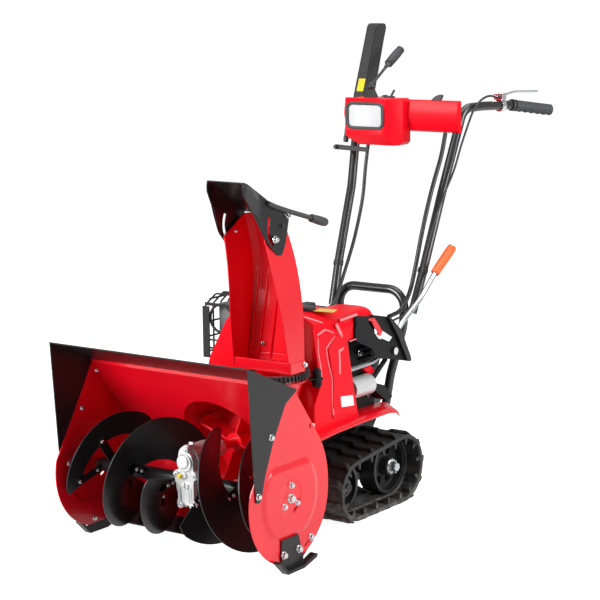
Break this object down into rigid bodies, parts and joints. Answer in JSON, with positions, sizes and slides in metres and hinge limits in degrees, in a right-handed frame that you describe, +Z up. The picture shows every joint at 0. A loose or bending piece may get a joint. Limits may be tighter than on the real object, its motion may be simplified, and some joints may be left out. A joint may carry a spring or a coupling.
{
  "type": "snow blower",
  "caption": "Walk-behind two-stage snow blower on rubber tracks, with a turning chute, a lifting auger housing, a lamp and handlebars",
  "frame": {"origin": "on the ground under the middle of the machine's overall length and width", "axes": "X to the operator's left, Y from the auger housing back toward the grips, Z up; metres"},
  "size_m": [0.636, 1.4965, 1.2461],
  "materials": {
    "red_paint": "glossy enamel on pressed sheet",
    "black_paint": "semi gloss enamel",
    "grey_paint": "silver grey enamel",
    "bare_steel": "worn bare steel",
    "bright_steel": "polished plating",
    "cast_alloy": "as cast",
    "black_plastic": "fine grain",
    "red_plastic": "glossy moulded",
    "orange_plastic": "smooth moulded",
    "track_rubber": "dull, dusty",
    "soft_rubber": "matt",
    "lamp_lens": "clear ribbed lens"
  },
  "bodies": {
    "chassis": {"track_left": "track_rubber", "track_right": "track_rubber", "drive_wheel_left": "black_plastic", "drive_wheel_right": "black_plastic", "idler_left": "black_plastic", "idler_right": "black_plastic", "drive_axle": "bare_steel", "track_frame": "black_paint"},
    "machine": {"housing_shell": "red_paint", "side_plate_left": "red_paint", "side_plate_right": "red_paint", "wing_left": "black_paint", "wing_right": "black_paint", "top_lip": "black_paint", "cutting_edge": "black_paint", "skid_shoe_left": "black_paint", "skid_shoe_right": "black_paint", "gearbox": "cast_alloy", "impeller_drum": "red_paint", "main_frame": "black_paint", "engine_block": "cast_alloy", "belt_cover": "red_plastic", "fuel_tank": "red_plastic", "fuel_cap": "black_plastic", "fender_left": "red_plastic", "fender_right": "red_plastic", "starter_motor": "cast_alloy", "recoil_housing": "black_paint", "muffler": "bare_steel", "muffler_guard": "black_paint", "gate_panel": "black_plastic", "handle_frame": "black_paint", "handle_left": "black_paint", "handle_right": "black_paint", "grip_left": "soft_rubber", "grip_right": "soft_rubber", "control_cowl": "red_plastic", "lamp_glass": "lamp_lens", "clutch_lever": "black_plastic", "chute_joystick": "black_plastic", "chute_drive": "black_plastic", "harness_left": "soft_rubber", "harness_right": "soft_rubber", "brake_cable": "soft_rubber", "brake_lever": "bright_steel", "side_box": "black_plastic"},
    "augers": {"auger_left": "black_paint", "auger_right": "black_paint", "auger_shaft": "bare_steel"},
    "impeller": {"impeller": "red_paint"},
    "chute": {"chute_ring": "black_plastic", "chute": "red_paint"},
    "deflector": {"deflector": "black_paint", "deflector_lever": "bright_steel"},
    "height_lever": {"height_lever": "bright_steel"}
  },
  "joints": [
    {"name": "housing_lift", "type": "hinge", "parent": "chassis", "child": "machine", "pos_m": [0, 0.036, 0.099], "axis": [-1, 0, 0], "range_deg": [0, 6]},
    {"name": "impeller_spin", "type": "hinge", "parent": "machine", "child": "impeller", "pos_m": [0.018, -0.45, 0.24], "axis": [0, 1, 0], "continuous": true},
    {"name": "auger_spin", "type": "hinge", "parent": "machine", "child": "augers", "pos_m": [0, -0.586, 0.175], "axis": [1, 0, 0], "continuous": true},
    {"name": "chute_turn", "type": "hinge", "parent": "machine", "child": "chute", "pos_m": [0.125, -0.414, 0.425], "axis": [0, 0, 1], "range_deg": [-100, 100]},
    {"name": "deflector_tilt", "type": "hinge", "parent": "chute", "child": "deflector", "pos_m": [0.125, -0.458, 0.798], "axis": [1, 0, 0], "range_deg": [0, 42]},
    {"name": "lever_swing", "type": "hinge", "parent": "machine", "child": "height_lever", "pos_m": [0.184, -0.174, 0.395], "axis": [1, 0, 0], "range_deg": [0, 17]}
  ],
  "couplings": [
    {"joint": "auger_spin", "follows": "impeller_spin", "ratio": 0.1},
    {"joint": "lever_swing", "follows": "housing_lift", "ratio": 2.8}
  ]
}
